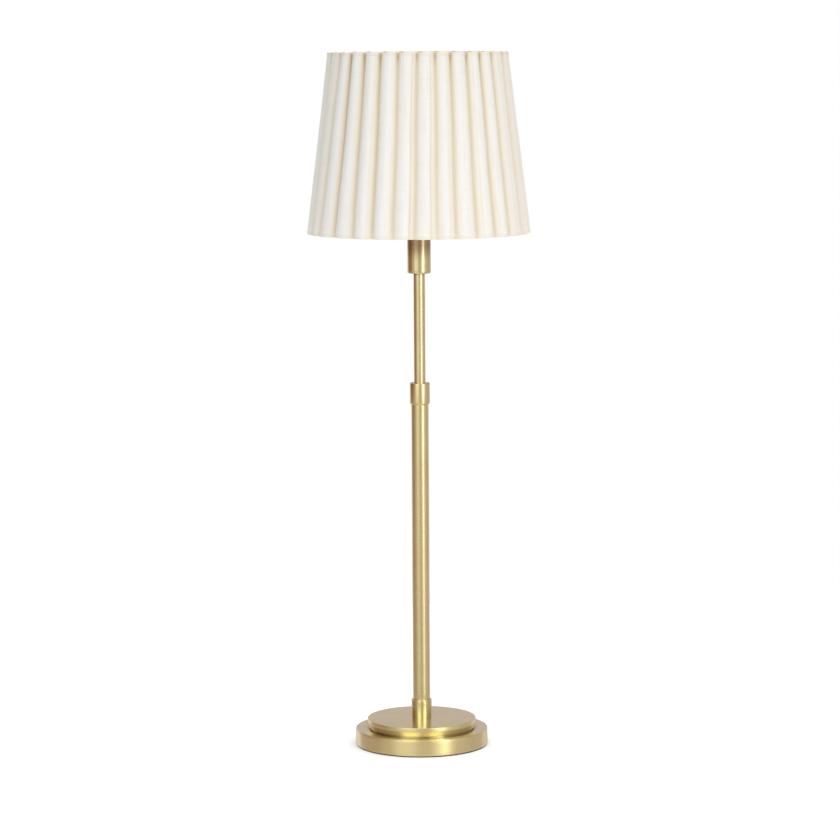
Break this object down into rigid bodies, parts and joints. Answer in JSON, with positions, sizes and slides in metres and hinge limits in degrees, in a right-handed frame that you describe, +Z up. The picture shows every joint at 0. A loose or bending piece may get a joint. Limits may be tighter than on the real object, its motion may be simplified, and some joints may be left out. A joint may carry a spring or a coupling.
{
  "type": "candlestick lamp",
  "caption": "Slim adjustable brass candlestick table lamp with a stepped round base, a telescoping stem and a pleated linen empire shade.",
  "frame": {"origin": "middle of the felt foot's underside, on the surface that the lamp stands on", "axes": "+Z up along the stem, -Y towards the picture's viewer, +X to the viewer's right"},
  "size_m": [0.2538, 0.2532, 0.793],
  "materials": {
    "felt": "felted wool",
    "brushed_brass": "brushed, lacquered",
    "satin_brass": "satin",
    "polished_brass": "polished",
    "grey_iron": "as cast",
    "zinc_steel": "zinc plated",
    "black_phenolic": "moulded phenolic",
    "nylon": "natural nylon",
    "steatite": "unglazed steatite",
    "contact_brass": "rolled",
    "spring_steel": "spring temper",
    "white_wire": "white epoxy",
    "linen": "woven linen, pleated"
  },
  "bodies": {
    "base": {"felt_pad": "felt", "plinth_shell": "brushed_brass", "ballast": "grey_iron", "step_shell": "brushed_brass", "spacer_bush": "zinc_steel", "lock_washer": "zinc_steel", "lock_nut": "zinc_steel", "base_pipe": "zinc_steel", "cord_bushing": "black_phenolic", "coupler": "satin_brass", "lower_tube": "satin_brass", "collet": "nylon"},
    "collar": {"collar_nut": "satin_brass"},
    "guide": {"guide_bush": "nylon"},
    "head": {"upper_tube": "polished_brass", "stop_ring": "contact_brass", "retaining_clip": "spring_steel", "head_pipe": "zinc_steel", "socket_cup": "polished_brass", "cup_washer": "zinc_steel", "cup_nut": "zinc_steel", "holder_body": "black_phenolic", "contact_carrier": "steatite", "centre_contact": "contact_brass", "screw_shell": "contact_brass", "terminal_screws": "contact_brass", "switch_block": "black_phenolic"},
    "switch": {"switch_shaft": "zinc_steel", "switch_knob": "black_phenolic"},
    "shade": {"shade_cloth": "linen", "bottom_wire_ring": "white_wire", "top_wire_ring": "white_wire", "frame_uprights": "white_wire", "fitter_ring": "white_wire", "fitter_arms": "white_wire"},
    "screw_ring": {"shade_screw_ring": "black_phenolic"}
  },
  "joints": [
    {"name": "collar_turn", "type": "hinge", "parent": "base", "child": "collar", "pos_m": [0, 0, 0.406], "axis": [0, 0, 1], "range_deg": [0, 180]},
    {"name": "stem_slide", "type": "slide", "parent": "base", "child": "guide", "axis": [0, 0, 1], "range_m": [-0.1235, 0.1225]},
    {"name": "stem_swivel", "type": "hinge", "parent": "guide", "child": "head", "pos_m": [0, 0, 0.264], "axis": [0, 0, 1], "range_deg": [-175, 175]},
    {"name": "switch_turn", "type": "hinge", "parent": "head", "child": "switch", "pos_m": [0.02, 0, 0.6049], "axis": [1, 0, 0], "continuous": true},
    {"name": "shade_lift", "type": "slide", "parent": "head", "child": "shade", "axis": [0, 0, 1], "range_m": [0, 0.08]},
    {"name": "ring_turn", "type": "hinge", "parent": "shade", "child": "screw_ring", "pos_m": [0, 0, 0.6204], "axis": [0, 0, 1], "range_deg": [0, 360]}
  ]
}
